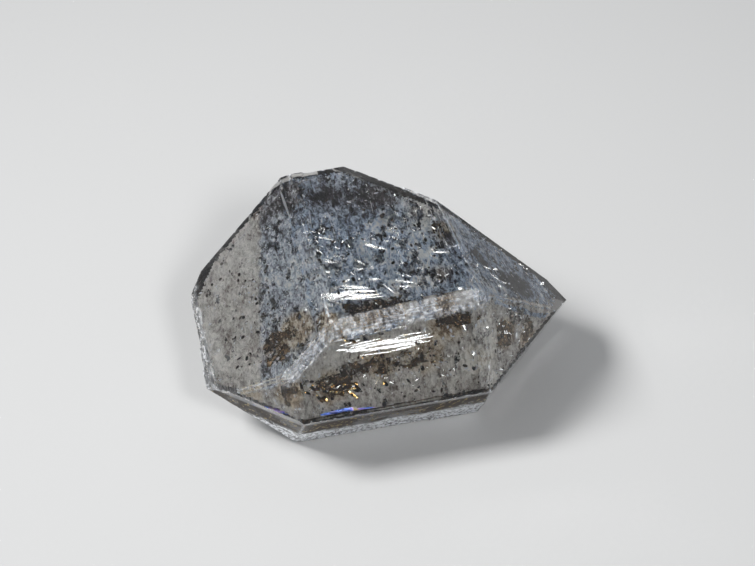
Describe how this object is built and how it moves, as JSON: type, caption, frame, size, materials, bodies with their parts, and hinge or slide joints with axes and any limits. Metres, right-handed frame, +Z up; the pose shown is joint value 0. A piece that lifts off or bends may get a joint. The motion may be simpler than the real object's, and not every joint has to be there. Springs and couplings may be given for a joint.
{
  "type": "petroleum quartz crystal",
  "caption": "Loose clear quartz crystal, pointed at both ends with one blunt, lying on a prism face, with dark bitumen and golden oil inclusions inside.",
  "frame": {"origin": "on the ground, under the middle of the crystal's box", "axes": "+Z up from the prism face that the crystal lies on; +X along the crystal's long axis, towards its sharp point; +Y away from the front"},
  "size_m": [0.0164, 0.0134, 0.0073],
  "materials": {
    "clear_quartz": "clear quartz, faintly smoky, bright flat crystal faces with fine growth steps"
  },
  "bodies": {
    "root": {"quartz_crystal": "clear_quartz"}
  },
  "joints": []
}
